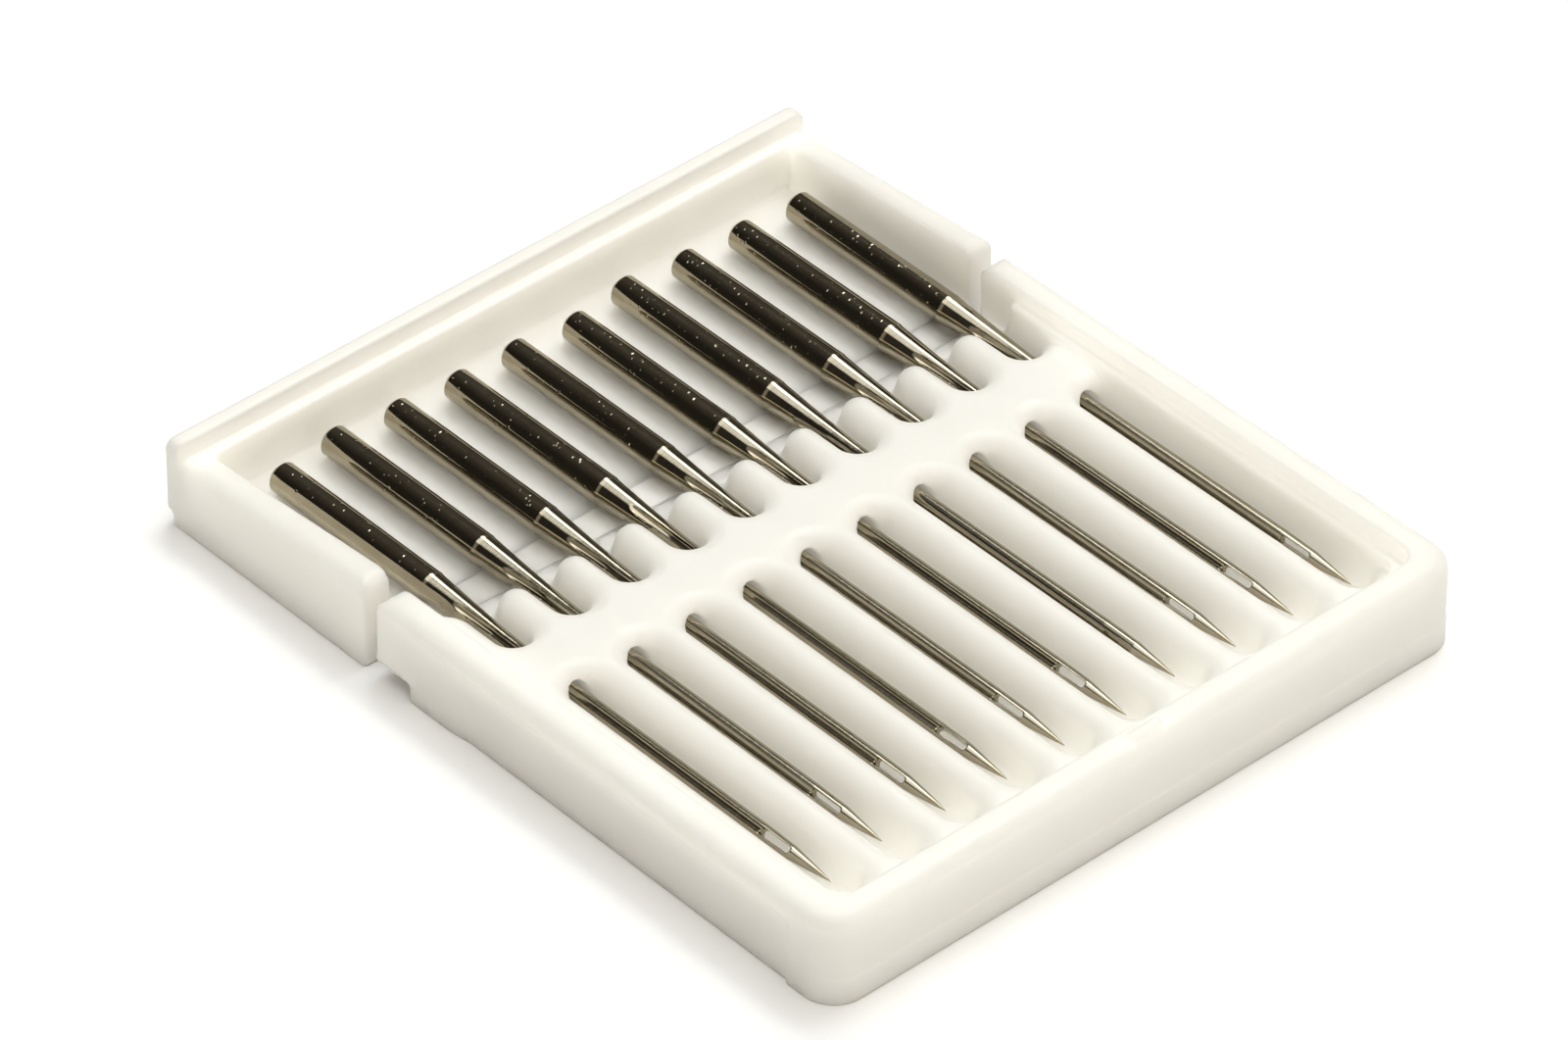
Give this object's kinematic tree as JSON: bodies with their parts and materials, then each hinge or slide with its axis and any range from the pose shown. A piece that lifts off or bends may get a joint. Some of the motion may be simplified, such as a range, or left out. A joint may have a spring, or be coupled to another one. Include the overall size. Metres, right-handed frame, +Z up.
{
  "type": "machine needles in a needle case",
  "caption": "Round-shank machine needles lying side by side in an open moulded case of two shallow trays joined by a living hinge.",
  "frame": {"origin": "middle of the case's footprint, on the surface that it stands on", "axes": "+X along the needles towards their points, +Y across the lanes, +Z up out of the open case"},
  "size_m": [0.0462, 0.0394, 0.0053],
  "materials": {
    "case": "satin, translucent white",
    "needle": "polished plating"
  },
  "bodies": {
    "blade_side": {"blade_tray": "case", "hinge_web": "case"},
    "shank_side": {"shank_tray": "case"},
    "needle_01_loose": {"needle_01": "needle"},
    "needle_02_loose": {"needle_02": "needle"},
    "needle_03_loose": {"needle_03": "needle"},
    "needle_04_loose": {"needle_04": "needle"},
    "needle_05_loose": {"needle_05": "needle"},
    "needle_06_loose": {"needle_06": "needle"},
    "needle_07_loose": {"needle_07": "needle"},
    "needle_08_loose": {"needle_08": "needle"},
    "needle_09_loose": {"needle_09": "needle"},
    "needle_10_loose": {"needle_10": "needle"}
  },
  "joints": [
    {"name": "tray_fold", "type": "hinge", "parent": "blade_side", "child": "shank_side", "pos_m": [-0.0084, 0, 0.00125], "axis": [0, -1, 0], "range_deg": [0, 90], "deforming": ["hinge_web"]},
    {"name": "needle_01_slide", "type": "slide", "parent": "blade_side", "child": "needle_01_loose", "axis": [1, 0, 0], "range_m": [-0.00144, 0.00136]},
    {"name": "needle_02_slide", "type": "slide", "parent": "blade_side", "child": "needle_02_loose", "axis": [1, 0, 0], "range_m": [-0.00094, 0.00186]},
    {"name": "needle_03_slide", "type": "slide", "parent": "blade_side", "child": "needle_03_loose", "axis": [1, 0, 0], "range_m": [-0.00131, 0.00149]},
    {"name": "needle_04_slide", "type": "slide", "parent": "blade_side", "child": "needle_04_loose", "axis": [1, 0, 0], "range_m": [-0.00152, 0.00128]},
    {"name": "needle_05_slide", "type": "slide", "parent": "blade_side", "child": "needle_05_loose", "axis": [1, 0, 0], "range_m": [-0.00154, 0.00126]},
    {"name": "needle_06_slide", "type": "slide", "parent": "blade_side", "child": "needle_06_loose", "axis": [1, 0, 0], "range_m": [-0.00185, 0.00095]},
    {"name": "needle_07_slide", "type": "slide", "parent": "blade_side", "child": "needle_07_loose", "axis": [1, 0, 0], "range_m": [-0.00133, 0.00147]},
    {"name": "needle_08_slide", "type": "slide", "parent": "blade_side", "child": "needle_08_loose", "axis": [1, 0, 0], "range_m": [-0.00168, 0.00112]},
    {"name": "needle_09_slide", "type": "slide", "parent": "blade_side", "child": "needle_09_loose", "axis": [1, 0, 0], "range_m": [-0.00179, 0.00101]},
    {"name": "needle_10_slide", "type": "slide", "parent": "blade_side", "child": "needle_10_loose", "axis": [1, 0, 0], "range_m": [-0.002, 0.0008]}
  ]
}
